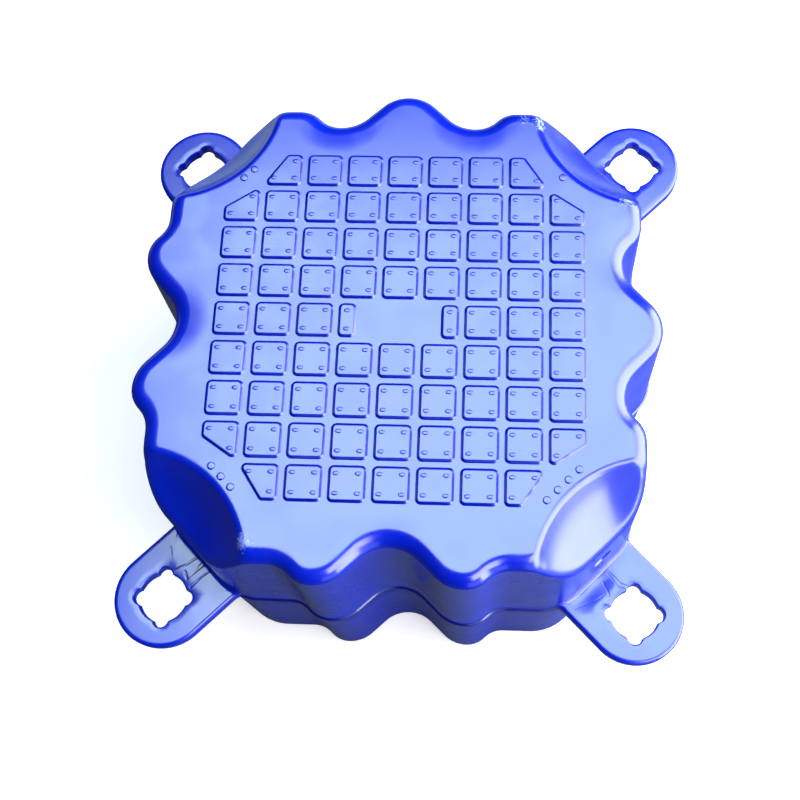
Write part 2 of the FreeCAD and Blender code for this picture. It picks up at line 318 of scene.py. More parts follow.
def body_stations(sizes, lugs):
    """Stations all round the widest outline, anticlockwise, each with its parting height."""
    stations = []
    reach = corner_start(sizes)
    for number, (angle, sign) in enumerate(SIDES):
        half = half_side(sizes, sign)
        right, left = parting_height(lugs, number - 1), parting_height(lugs, number)
        for station in half[::-1] + [s.mirrored() for s in half[1:]]:
            station.climb = mix(left, right, 0.5 + 0.5 * station.point.x / reach)
            stations.append(station.turned(angle - 90))
        for station in corner_stations(sizes):
            station.climb = left
            stations.append(station.turned(angle))
    return stations


class Scoop:
    """Section of a corner scoop: its depth at a distance from the pin axis."""

    def __init__(self, sizes, edge_radius):
        run = sizes.scoop_radius - sizes.corner_clearance
        chord = math.hypot(run, sizes.scoop_depth)
        self.mouth = sizes.scoop_radius
        self.hollow = chord * chord / (8 * sizes.scoop_sag) + 0.5 * sizes.scoop_sag
        self.steep = math.atan2(sizes.scoop_depth, run) + math.asin(0.5 * chord / self.hollow)
        self.edge = edge_radius
        self.outer = self.mouth + self.edge * math.tan(0.5 * self.steep)
        self.inner = self.outer - self.edge * math.sin(self.steep)

    def depth(self, distance):
        if distance >= self.outer:
            return 0.0
        if distance >= self.inner:
            return self.edge - math.sqrt(max(0.0, self.edge ** 2 - (self.outer - distance) ** 2))
        slope = math.asin(math.sin(self.steep) - (self.mouth - distance) / self.hollow)
        return self.hollow * (math.cos(slope) - math.cos(self.steep))


class Deck:
    """Top of the float: the flat deck with its rounded rim and four scoops."""

    def __init__(self, sizes):
        self.sizes = sizes
        self.scoop = Scoop(sizes, sizes.scoop_edge_radius)
        self.horn = Scoop(sizes, sizes.horn_radius)
        self.pins = [pin_axis(sizes, angle) for angle in CORNER_ANGLES]
        self.bend = sizes.rim_radius / math.sin(RIM_TURN)
        self.foot = sizes.height - self.bend * (1 - math.cos(RIM_TURN))

    def nearest_pin(self, point):
        return min(self.pins, key=lambda pin: (point - pin).length)

    def height(self, point, inset):
        """Height over one point of the plan, at its distance from the wall."""
        drop = self.bend - math.sqrt(self.bend ** 2 - max(0.0, self.sizes.rim_radius - inset) ** 2)
        distance = (point - self.nearest_pin(point)).length
        outward = eased(1 - inset / self.sizes.rim_radius)
        dip = mix(self.scoop.depth(distance), self.horn.depth(distance), outward)
        return self.sizes.height - (drop ** HORN_POWER + dip ** HORN_POWER) ** (1 / HORN_POWER)

    def wall_draft(self, station, height):
        """Inset of the upper wall at one height."""
        rise = (height - station.climb) / (self.foot - station.climb)
        return self.sizes.upper_draft * rise

    def wall_top(self, station):
        """Height where the wall meets the rim or the scoop."""
        height = self.foot
        for _ in range(FITTING_ROUNDS):
            height = self.height(station.at(0, self.wall_draft(station, height)), 0.0)
        return height


# Rows over the rim, over the part of it that a scoop's edge bends, over a scoop's mouth and up its hollow
RIM_ROWS, EDGE_ROWS, MOUTH_ROWS, HOLLOW_ROWS = 10, 5, 8, 6
# Ring between the rounded edges and the flat faces of deck and base, and the crease under the rim
DECK_RING, CREASE_WIDTH = 3 * MM, 0.7 * MM
# Drop of the wall's top over which the rim's crease gives way to the scoop's rounded edge
CREASE_FADE = 8 * MM
# The mouth's rows reach this far past its rounding on both sides, and leave these shares of the way free
MOUTH_LEAD, MOUTH_TAIL = 0.5 * MM, 0.1 * MM
LEAD_SHARE, TAIL_SHARE = 0.15, 0.2


def bent(start, corner, end, share):
    """Point on the soft bend from start to end round a corner."""
    return start.lerp(corner, share).lerp(corner.lerp(end, share), share)


def rim_profile(deck, station):
    """Points of the rim at one station, from the wall inwards over the rounded edge."""
    sizes = deck.sizes
    top = deck.wall_top(station)
    draft = deck.wall_draft(station, top)
    insets = [sizes.rim_radius - deck.bend * math.sin(RIM_TURN * (1 - row / RIM_ROWS))
              for row in range(RIM_ROWS + 1)]

    def on_top(inset):
        plan = station.at(inset, draft)
        return Vector((plan.x, plan.y, deck.height(plan, inset)))

    points = [on_top(inset) for inset in insets]
    sharp = eased((deck.foot - top) / CREASE_FADE)
    if sharp > 0:
        reach = insets[EDGE_ROWS]
        foot_plan = station.at(0, deck.wall_draft(station, top - reach))
        foot = Vector((foot_plan.x, foot_plan.y, top - reach))
        corner, end = points[0].copy(), points[EDGE_ROWS].copy()
        for row in range(EDGE_ROWS + 1):
            points[row] = points[row].lerp(bent(foot, corner, end, row / EDGE_ROWS), sharp)
    return points


def deck_profile(deck, station, start):
    """Points from the inner edge of the rim to the flat of the deck, over the scoop's mouth."""
    sizes = deck.sizes
    draft = deck.wall_draft(station, deck.wall_top(station))
    goal = station.at(sizes.rim_radius + DECK_RING, draft)
    pin = deck.nearest_pin(goal)
    ring = deck.scoop.outer + 0.5 * DECK_RING
    begin = start.xy
    near = (begin - pin).length
    shares = [(row + 1) / (HOLLOW_ROWS + MOUTH_ROWS) for row in range(HOLLOW_ROWS + MOUTH_ROWS)]
    if (goal - pin).length < ring:
        goal = pin + (goal - pin).normalized() * ring
        low = max(deck.scoop.inner - MOUTH_LEAD, near + LEAD_SHARE * (ring - near))
        high = max(deck.scoop.outer + MOUTH_TAIL, ring - TAIL_SHARE * (ring - low))
        radii = [mix(near, low, (row + 1) / HOLLOW_ROWS) for row in range(HOLLOW_ROWS)]
        radii += [mix(low, high, (row + 1) / (MOUTH_ROWS - 1)) for row in range(MOUTH_ROWS - 1)]
        shares = [(radius - near) / (ring - near) for radius in radii] + [1.0]
    points = []
    for share in shares:
        plan = begin.lerp(goal, share)
        points.append(Vector((plan.x, plan.y, deck.height(plan, sizes.rim_radius))))
    return points


# Rows over the base's edge and up the wall below and above the parting bead
BASE_ROWS, LOWER_ROWS, UPPER_ROWS = 6, 5, 8
# Rows over the bead, as shares of its half width
BEAD_SHARES = (-1.0, -0.75, -0.5, -0.25, 0.0, 0.25, 0.5, 0.75, 1.0)
BEAD_START = BASE_ROWS + LOWER_ROWS + 1
# Rows over the top of the bead, which get painted shade and so stay darker than the wall
BEAD_MARKED = range(BEAD_START + 2, BEAD_START + len(BEAD_SHARES) - 1)


def wall_profile(deck, station, top):
    """Points from the flat of the base up the wall and over the parting bead, to the rim."""
    sizes = deck.sizes
    points = []

    def add(inset, draft, height):
        plan = station.at(inset, draft)
        points.append(Vector((plan.x, plan.y, height)))

    add(sizes.base_radius + DECK_RING, sizes.lower_draft, 0.0)
    for inset, rise in quarter_round(sizes.base_radius, BASE_ROWS):
        add(inset, sizes.lower_draft, rise)
    bead_low = station.climb - sizes.bead_half_width
    for row in range(1, LOWER_ROWS):
        share = row / LOWER_ROWS
        add(0.0, sizes.lower_draft * (1 - share), mix(sizes.base_radius, bead_low, share))
    for share in BEAD_SHARES:
        bump = 0.5 + 0.5 * math.cos(math.pi * share)
        add(-sizes.bead_height * bump, 0.0, station.climb + share * sizes.bead_half_width)
    bead_high = station.climb + sizes.bead_half_width
    crease = top - CREASE_WIDTH
    for row in range(1, UPPER_ROWS + 1):
        height = mix(bead_high, crease, row / UPPER_ROWS)
        add(0.0, deck.wall_draft(station, height), height)
    return points


WELD_DISTANCE = 1e-6


def skin(bm, columns, marked=()):
    """Lay a grid over closed columns of points, mark some of its rows and weld its seam."""
    count, rows = len(columns), len(columns[0])
    marks = bm.verts.layers.float.get("mark") or bm.verts.layers.float.new("mark")
    made = bmesh.ops.create_grid(bm, x_segments=count, y_segments=rows - 1, size=0.5)["verts"]
    for vertex in made:
        column = round((vertex.co.x + 0.5) * count) % count
        row = round((vertex.co.y + 0.5) * (rows - 1))
        vertex.co = columns[column][row]
        vertex[marks] = 1.0 if row in marked else 0.0
    bmesh.ops.remove_doubles(bm, verts=made, dist=WELD_DISTANCE)


def finished(bm, name, material):
    """Close what is open, turn the faces outwards, shade them smoothly and make the piece."""
    bmesh.ops.holes_fill(bm, edges=[edge for edge in bm.edges if edge.is_boundary], sides=0)
    bmesh.ops.recalc_face_normals(bm, faces=bm.faces)
    for face in bm.faces:
        face.smooth = True
    piece = placed(name, mesh_of(bm, name, material))
    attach(piece, BODY)
    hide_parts(CAD_NODE)
    return piece


# Flats to a pad's rounded corner, and the most of a side that its two corners take
ROUND_STEPS = 5
ROUND_SHARE = 0.9


def rounded_polygon(bm, points, radius, height):
    """Flat face with each of its corners rounded, as far as its shortest side allows."""
    edges = [here - points[index - 1] for index, here in enumerate(points)]
    turns = [edge.angle(edges[(index + 1) % len(edges)]) for index, edge in enumerate(edges)]
    pulls = [math.tan(0.5 * turn) for turn in turns]
    limits = [ROUND_SHARE * edge.length / (pulls[index - 1] + pulls[index])
              for index, edge in enumerate(edges)]
    outline = []
    for index, here in enumerate(points):
        into = edges[index].normalized()
        fit = min(radius, limits[index], limits[(index + 1) % len(limits)])
        centre = here - into * fit * pulls[index] + Vector((-into.y, into.x)) * fit
        start = math.degrees(math.atan2(-into.x, into.y))
        for step in range(ROUND_STEPS + 1):
            outline.append(centre + polar(fit, start + math.degrees(turns[index]) * step / ROUND_STEPS))
    bm.faces.new([bm.verts.new((point.x, point.y, height)) for point in outline]).normal_update()


def raise_faces(bm, faces, steps):
    """Raise flat faces by steps of inset and rise, each face by itself."""
    for inset, rise in steps:
        bmesh.ops.inset_individual(bm, faces=faces, thickness=inset, depth=rise, use_even_offset=True)


def clipped(points, towards, offset):
    """Cut a convex outline by a line across the way from its middle to one point."""
    middle = sum(points, Vector((0, 0))) / len(points)
    along = (towards - middle).normalized()
    kept = []
    for index, here in enumerate(points):
        before = points[index - 1]
        past_before, past_here = ((place - middle).dot(along) - offset for place in (before, here))
        if past_before * past_here < 0:
            kept.append(before.lerp(here, past_before / (past_before - past_here)))
        if past_here <= 0:
            kept.append(here)
    return kept


def pad_outline(sizes, tread, column, row):
    """Plan of one tread pad, or nothing where the deck is left plain."""
    if column == row == 0 or abs(column) == abs(row) == tread.reach:
        return None
    half = 0.5 * tread.size
    x, y = column * tread.pitch, row * tread.pitch
    left, right, front, back = x - half, x + half, y - half, y + half
    if row == 0 and column == -1:
        right = left + tread.half_width
    if row == 0 and column == 1:
        left = right - tread.half_width
    outline = [Vector(place) for place in ((left, front), (right, front), (right, back), (left, back))]
    if abs(column) + abs(row) == 2 * tread.reach - 1:
        pin = 0.5 * sizes.pin_pitch
        towards = Vector((math.copysign(pin, x), math.copysign(pin, y)))
        return clipped(outline, towards, tread.cut_offset)
    return outline


def pip_places(tread, column, row):
    """Middles of the pips on one pad."""
    x, y = column * tread.pitch, row * tread.pitch
    if row == 0 and abs(column) == 1:
        x += math.copysign(0.5 * tread.size - 0.5 * tread.half_width, column)
        return [Vector((x, y - tread.pip_front)), Vector((x, y + tread.pip_front))]
    places = [Vector((x + a * tread.pip_side, y + b * tread.pip_front)) for a in (-1, 1) for b in (-1, 1)]
    if abs(column) + abs(row) == 2 * tread.reach - 1:
        places.remove(max(places, key=lambda place: place.length))
    return places


# Flats round the blow pin's recess, the angle from which an edge is sharp, and the shortest edge left
PLUG_SEGMENTS = 48
SHARP_ANGLE = math.radians(45)
SHORTEST_EDGE = 0.001 * MM


def build_shell():
    scene = bpy.context.scene
    sizes, lugs = scene.float_sizes, scene.lug_sizes
    deck = Deck(sizes)
    columns = []
    for station in body_stations(sizes, lugs):
        rim = rim_profile(deck, station)
        columns.append(wall_profile(deck, station, rim[0].z) + rim + deck_profile(deck, station, rim[-1]))
    bm = bmesh.new()
    skin(bm, columns, BEAD_MARKED)
    bmesh.ops.edgeloop_fill(bm, edges=[edge for edge in bm.edges if edge.is_boundary])
    shell = finished(bm, "float_shell", shell_plastic())
    cut_plug_recess(shell, deck, lugs)


def cut_plug_recess(shell, deck, lugs):
    """Sink the blow pin's recess into the corner wall over the lowest lug."""
    sizes, angle = deck.sizes, CORNER_ANGLES[-1]
    climb = parting_height(lugs, -1)
    draft = sizes.upper_draft * (sizes.plug_height - climb) / (deck.foot - climb)
    middle = polar(sizes.pin_pitch / math.sqrt(2) - sizes.corner_clearance - draft, angle)
    aim = Matrix.Rotation(math.radians(angle), 4, "Z") @ Matrix.Rotation(0.5 * math.pi, 4, "Y")
    radius = 0.5 * sizes.plug_diameter
    bm = bmesh.new()
    bmesh.ops.create_cone(bm, cap_ends=True, segments=PLUG_SEGMENTS, radius1=radius - sizes.plug_slope,
                          radius2=radius + sizes.plug_slope, depth=2 * sizes.plug_depth,
                          matrix=Matrix.Translation((middle.x, middle.y, sizes.plug_height)) @ aim)
    pin = placed("blow_pin", mesh_of(bm, "blow_pin"))
    cut = shell.modifiers.new("recess", "BOOLEAN")
    cut.operation, cut.solver, cut.object = "DIFFERENCE", "EXACT", pin
    whole = shell.evaluated_get(bpy.context.evaluated_depsgraph_get())
    shell.data = bpy.data.meshes.new_from_object(whole)
    shell.modifiers.clear()
    bpy.data.objects.remove(pin)
    bm = bmesh.new()
    bm.from_mesh(shell.data)
    bmesh.ops.dissolve_degenerate(bm, dist=SHORTEST_EDGE, edges=bm.edges)
    bm.to_mesh(shell.data)
    bm.free()
    shell.data.set_sharp_from_angle(angle=SHARP_ANGLE)


# Steps of inset and rise that raise a pad: its foot, its edge as shares of a radius, and its flat top
PAD_FOOT = ((0.25 * MM, 0.1 * MM), (0.15 * MM, 0.25 * MM))
ROUND_OVER = ((0.076, 0.383), (0.217, 0.324), (0.324, 0.217), (0.383, 0.076))
PAD_TOP = (0.3 * MM, 0.0)
# Steps of inset, and of rise as a share of the height, that dome a pip and a dot
PIP_DOME = ((0.12 * MM, 0.45), (0.35 * MM, 0.35), (0.6 * MM, 0.2))
DOT_DOME = ((0.15 * MM, 0.45), (0.25 * MM, 0.3), (0.35 * MM, 0.15), (0.5 * MM, 0.06), (0.9 * MM, 0.04))
PIP_SEGMENTS, DOT_SEGMENTS = 12, 24


def build_pads():
    scene = bpy.context.scene
    sizes, tread = scene.float_sizes, scene.tread_sizes
    bm = bmesh.new()
    numbers = range(-tread.reach, tread.reach + 1)
    cells = [(column, row) for column in numbers for row in numbers
             if pad_outline(sizes, tread, column, row)]
    for column, row in cells:
        outline = pad_outline(sizes, tread, column, row)
        rounded_polygon(bm, outline, tread.corner_radius, sizes.height - tread.sink)
    edge, foot = tread.edge_radius, sum(rise for _, rise in PAD_FOOT)
    steps = [(0.0, tread.sink), *PAD_FOOT, (tread.slope, tread.pad_height - edge - foot)]
    steps += [(inset * edge, rise * edge) for inset, rise in ROUND_OVER] + [PAD_TOP]
    raise_faces(bm, list(bm.faces), steps)
    tops = sizes.height + tread.pad_height
    for column, row in cells:
        for place in pip_places(tread, column, row):
            add_dome(bm, place, tops, (tread.pip_length, tread.pip_width), PIP_SEGMENTS, tread.sink,
                     PIP_DOME, tread.pip_height)
    finished(bm, "tread_pads", tread_plastic())


def add_dome(bm, place, foot, size, segments, sink, dome, top):
    """Low dome of a length and width, sunk at its foot, by steps of inset and share of its top."""
    squash = Matrix.Diagonal((0.5 * size[0], 0.5 * size[1], 1, 1))
    set_down = Matrix.Translation((place.x, place.y, foot - sink))
    ring = bmesh.ops.create_circle(bm, cap_ends=True, segments=segments, radius=1.0,
                                   matrix=set_down @ squash)
    steps = [(0.0, sink)] + [(inset, share * top) for inset, share in dome]
    raise_faces(bm, [ring["verts"][0].link_faces[0]], steps)


def build_dots():
    scene = bpy.context.scene
    sizes, tread = scene.float_sizes, scene.tread_sizes
    bm = bmesh.new()
    for number, angle in enumerate(CORNER_ANGLES):
        pin = pin_axis(sizes, angle)
        for index in range(number + 1):
            offset = Vector((-tread.dot_distance, (index - 0.5 * number) * tread.dot_pitch))
            place = pin + turned(offset, angle)
            add_dome(bm, place, sizes.height, (tread.dot_diameter, tread.dot_diameter), DOT_SEGMENTS,
                     tread.sink, DOT_DOME, tread.dot_height)
    finished(bm, "number_dots", bpy.data.materials.get("tread_plastic") or tread_plastic())


# Points along the pieces of a lug's outline
TIP_STEPS, LUG_SIDE_STEPS, FLARE_STEPS, BURIED_STEPS = 40, 26, 12, 12
# Shares of the flare's and the buried part's turn that the outline takes
FLARE_TURN, BURIED_TURN = 0.66, 0.58


def corner_half_wall(sizes):
    """Half the width of a corner's flat wall."""
    return 0.5 * math.sqrt(2) * (side_line(sizes) - sizes.corner_radius - corner_start(sizes))


def lug_stations(sizes, lugs):
    """Stations round a lug about its pin axis, with +X pointing away from the body."""
    half_wall = corner_half_wall(sizes)
    tail = -sizes.corner_clearance - sizes.corner_radius
    across = lugs.radius + lugs.flare_radius
    reach = math.sqrt((sizes.corner_radius + lugs.flare_radius) ** 2 - (across - half_wall) ** 2)
    flare = Vector((tail + reach - lugs.flare_bite, across))
    corner = Vector((tail, half_wall))
    meet = math.degrees(math.atan2(corner.y - flare.y, corner.x - flare.x))
    inner = (flare - corner).length - lugs.flare_radius
    edge, back = lugs.radius, Vector((tail + inner, 0))
    half = [*arc((0, 0), edge, 0, 90, TIP_STEPS),
            *straight(Vector((0, edge)), Vector((flare.x, edge)), (0, 1), LUG_SIDE_STEPS),
            *arc(flare, lugs.flare_radius, -90, mix(-90, meet, FLARE_TURN), FLARE_STEPS, -1),
            *arc(corner, inner, BURIED_TURN * (180 + meet), 0, BURIED_STEPS, 0),
            *straight(Vector((back.x, half_wall)), back, (0, 0), BURIED_STEPS),
            Station(back, Vector((0, 0)), Vector((0, 0)))]
    other = [Station(*(Vector((v.x, -v.y)) for v in (s.point, s.normal, s.shift))) for s in half[1:-1]]
    return half + other[::-1]


def hole_radius(lugs, degrees):
    """Distance from the pin axis to the hole's edge in one direction."""
    off = math.radians((degrees % 90) - 45)
    centre = lugs.lobe_reach - lugs.lobe_radius
    inside = max(0.0, lugs.lobe_radius ** 2 - (centre * math.sin(off)) ** 2)
    lobe = centre * math.cos(off) + math.sqrt(inside)
    blend = max(0.0, 1 - abs(lobe - lugs.hole_radius) / lugs.neck)
    return max(lobe, lugs.hole_radius) + 0.25 * blend * blend * lugs.neck


def wall_distance(sizes, point):
    """From a point beside the corner wall to that wall."""
    centre = -sizes.corner_clearance - sizes.corner_radius
    aside = max(0.0, abs(point.y) - corner_half_wall(sizes))
    return math.hypot(point.x - centre, aside) - sizes.corner_radius


# Rows across a lug's face, from the hole to the outer edge, closer where the root's fillet runs
FACE_SHARES = (0.3, 0.6, 0.72, 0.78, 0.81, 0.84, 0.87, 0.90, 0.93)
LUG_EDGE_ROWS, HOLE_EDGE_ROWS = 6, 3


def lug_half_section(sizes, lugs, station):
    """Plan and height of points from the middle of the hole's wall to the middle of the lug's side."""
    rim = station.at(lugs.edge_radius)
    degrees = math.degrees(math.atan2(rim.y, rim.x))
    way = polar(1, degrees)
    bore = hole_radius(lugs, degrees)
    half = 0.5 * lugs.thickness
    points = [(way * bore, 0.0)]
    for drop, inset in quarter_round(lugs.hole_edge_radius, HOLE_EDGE_ROWS):
        points.append((way * (bore + inset), half - drop))
    start = points[-1][0]
    for share in FACE_SHARES:
        points.append((start.lerp(rim, share), half))
    for inset, drop in quarter_round(lugs.edge_radius, LUG_EDGE_ROWS):
        points.append((station.at(inset), half - drop))
    lifted = []
    for plan, height in points:
        near = max(0.0, lugs.root_radius - max(0.0, wall_distance(sizes, plan)))
        rise = lugs.root_radius - math.sqrt(lugs.root_radius ** 2 - near ** 2)
        lifted.append((plan, height + rise * (height / half)))
    return lifted


def build_lugs():
    scene = bpy.context.scene
    sizes, lugs = scene.float_sizes, scene.lug_sizes
    bm = bmesh.new()
    sections = [lug_half_section(sizes, lugs, station) for station in lug_stations(sizes, lugs)]
    for number, angle in enumerate(CORNER_ANGLES):
        pin = pin_axis(sizes, angle)
        middle = parting_height(lugs, number)
        columns = []
        for section in sections:
            column = []
            for plan, height in section + [(p, -h) for p, h in section[::-1]]:
                place = pin + turned(plan, angle)
                column.append(Vector((place.x, place.y, middle + height)))
            columns.append(column)
        skin(bm, columns)
    bmesh.ops.remove_doubles(bm, verts=bm.verts, dist=WELD_DISTANCE)
    finished(bm, "corner_lugs", lug_plastic())


class Sheet:
    """Short ways to add and join the nodes of one tree."""

    def __init__(self, tree):
        self.tree = tree

    def feed(self, socket, source):
        if isinstance(source, bpy.types.NodeSocket):
            self.tree.links.new(source, socket)
        else:
            socket.default_value = source

    def node(self, kind, *sources, **settings):
        """Node of one kind, its inputs fed in order."""
        made = self.tree.nodes.new("ShaderNode" + kind)
        for key, value in settings.items():
            setattr(made, key, value)
        for socket, source in zip(made.inputs, sources):
            self.feed(socket, source)
        return made

    def math(self, operation, *sources):
        return self.node("Math", *sources, operation=operation).outputs["Value"]

    def vector(self, operation, *sources):
        outputs = self.node("VectorMath", *sources, operation=operation).outputs
        return outputs["Value" if operation in ("DISTANCE", "DOT_PRODUCT") else "Vector"]

    def named(self, kind, values, **settings):
        """Outputs of a node of one kind, its inputs fed by name."""
        made = self.node(kind, **settings)
        for name, source in values.items():
            self.feed(made.inputs[name], source)
        return made.outputs

    def scaled(self, vector, factor):
        return self.named("VectorMath", {"Vector": vector, "Scale": factor}, operation="SCALE")["Vector"]

    def place(self):
        return self.node("TexCoord").outputs["Object"]

    def noise(self, place, scale, detail, output="Fac"):
        return self.named("TexNoise", {"Vector": place, "Scale": scale, "Detail": detail})[output]

    def ramp(self, value, start, end, low=0.0, high=1.0):
        """Smooth step from low at the start to high at the end."""
        values = {"Value": value, "From Min": start, "From Max": end, "To Min": low, "To Max": high}
        return self.named("MapRange", values, interpolation_type="SMOOTHSTEP")["Result"]

    def blend(self, share, first, second):
        """Mix of two colours."""
        return self.named("Mix", {"Factor": share, "A": first, "B": second}, data_type="RGBA")["Result"]

    def most(self, masks):
        """Highest of several masks."""
        result = masks[0]
        for mask in masks[1:]:
            result = self.math("MAXIMUM", result, mask)
        return result

    def group(self, build, **values):
        """Outputs of the node group of one effect, which is built once."""
        tree = bpy.data.node_groups.get(build.__name__) or build()
        return self.named("Group", values, node_tree=tree)


def new_group(name, inputs, outputs):
    """Node group with numbers and places going in, and masks or heights coming out."""
    tree = bpy.data.node_groups.new(name, "ShaderNodeTree")
    for label, default in inputs.items():
        kind = "NodeSocketVector" if isinstance(default, tuple) else "NodeSocketFloat"
        tree.interface.new_socket(name=label, in_out="INPUT", socket_type=kind).default_value = default
    for label in outputs:
        tree.interface.new_socket(name=label, in_out="OUTPUT", socket_type="NodeSocketFloat")
    return Sheet(tree), tree.nodes.new("NodeGroupInput").outputs, tree.nodes.new("NodeGroupOutput").inputs


# Noises have a scale and a detail, and ranges say between which values a mask fades
MOULD_NOISES = {"Ripple": (9.0, 1.0), "Peel": (150.0, 2.0), "Grain": (800.0, 1.0)}
SHIFT_NOISES = {"Shade": (7.0, 2.0), "Gloss": (26.0, 2.0)}
SHIFT_RANGE = (0.3, 0.7)
# Scratches as their heading in degrees and the stretch of their noise
SCRATCH_RUNS = ((24, (5, 420, 60)), (-52, (9, 360, 80)))
SCRATCH_RANGE = (0.7, 0.78)
PATCH_NOISE, PATCH_RANGE = (8.0, 3.0), (0.52, 0.68)
SCUFF_NOISE, SCUFF_RAGGED, SCUFF_RANGE = (420.0, 5.0), 2.4, (2.0, 1.3)
# How far a crease wanders in metres, and the share of its width where its painted shade is darkest
WANDER_NOISE, WANDER, CREASE_CORE = (60.0, 1.0), 0.004, 0.3


def mould_surface():
    """Ripple, peel and grain left by the mould, in millimetres, with slow shifts of shade and gloss."""
    inputs = {"Ripple": 0.2, "Peel": 0.02, "Grain": 0.0015}
    sheet, given, result = new_group("mould_surface", inputs, ("Height", "Shade", "Gloss"))
    place = sheet.place()
    height = 0.0
    for name, noise in MOULD_NOISES.items():
        height = sheet.math("MULTIPLY_ADD", sheet.noise(place, *noise), given[name], height)
    sheet.feed(result["Height"], height)
    for name, noise in SHIFT_NOISES.items():
        sheet.feed(result[name], sheet.ramp(sheet.noise(place, *noise), *SHIFT_RANGE))
    return sheet.tree


def fine_scratches():
    """Thin scratches that run two ways and lie in patches."""
    sheet, given, result = new_group("fine_scratches", {"Amount": 1.0}, ("Mask",))
    place = sheet.place()
    lines = []
    for heading, stretch in SCRATCH_RUNS:
        run = sheet.node("Mapping", place, (0, 0, 0), (0, 0, math.radians(heading)), stretch)
        lines.append(sheet.ramp(sheet.noise(run.outputs["Vector"], 1.0, 1.0), *SCRATCH_RANGE))
    patches = sheet.ramp(sheet.noise(place, *PATCH_NOISE), *PATCH_RANGE)
    mask = sheet.math("MULTIPLY", sheet.most(lines), patches)
    sheet.feed(result["Mask"], sheet.math("MULTIPLY", mask, given["Amount"]))
    return sheet.tree


def scuffed_spot():
    """Ragged pale spot about a place, as far as its reach."""
    inputs = {"Place": (0.0, 0.0, 0.0), "Reach": 0.01, "Strength": 1.0}
    sheet, given, result = new_group("scuffed_spot", inputs, ("Mask",))
    place = sheet.place()
    away = sheet.math("DIVIDE", sheet.vector("DISTANCE", place, given["Place"]), given["Reach"])
    ragged = sheet.math("MULTIPLY_ADD", sheet.noise(place, *SCUFF_NOISE), SCUFF_RAGGED, away)
    mask = sheet.ramp(ragged, *SCUFF_RANGE)
    sheet.feed(result["Mask"], sheet.math("MULTIPLY", mask, given["Strength"]))
    return sheet.tree


def crease_line():
    """Soft line between two places, wider towards its end by the flare; a finish dents it and darkens it as
    painted shade.
    """
    inputs = {"Start": (0.0, 0.0, 0.0), "End": (0.0, 0.0, 0.0), "Width": 0.001, "Flare": 0.0,
              "Strength": 1.0}
    sheet, given, result = new_group("crease_line", inputs, ("Line",))
    place = sheet.place()
    wander = sheet.vector("SUBTRACT", sheet.noise(place, *WANDER_NOISE, "Color"), (0.5, 0.5, 0.5))
    place = sheet.vector("ADD", place, sheet.scaled(wander, WANDER))
    along = sheet.vector("SUBTRACT", given["End"], given["Start"])
    out = sheet.vector("SUBTRACT", place, given["Start"])
    share = sheet.math("DIVIDE", sheet.vector("DOT_PRODUCT", out, along),
                       sheet.vector("DOT_PRODUCT", along, along))
    share = sheet.math("MINIMUM", sheet.math("MAXIMUM", share, 0.0), 1.0)
    away = sheet.vector("DISTANCE", out, sheet.scaled(along, share))
    width = sheet.math("MULTIPLY", given["Width"], sheet.math("MULTIPLY_ADD", share, given["Flare"], 1.0))
    line = sheet.ramp(away, width, sheet.math("MULTIPLY", width, CREASE_CORE))
    sheet.feed(result["Line"], sheet.math("MULTIPLY", line, given["Strength"]))
    return sheet.tree


def soft_sag():
    """Shallow sag of the deck beside a valley of the rim, in millimetres."""
    inputs = {"Place": (0.0, 0.0, 0.0), "Reach": 0.05, "Depth": 1.0}
    sheet, given, result = new_group("soft_sag", inputs, ("Height",))
    away = sheet.vector("DISTANCE", sheet.place(), given["Place"])
    sag = sheet.ramp(away, given["Reach"], 0.0)
    sheet.feed(result["Height"], sheet.math("MULTIPLY", sag, sheet.math("MULTIPLY", given["Depth"], -1.0)))
    return sheet.tree


def metres(place):
    return tuple(along * MM for along in place)


# The plastic's gloss, how dark the painted shade of creases, bead rows and feet gets, and what a scuff adds
# to the roughness
PLASTIC_IOR, PLASTIC_SHINE = 1.65, 1.0
DARKEST, SCUFF_ROUGHNESS = 0.8, 0.25


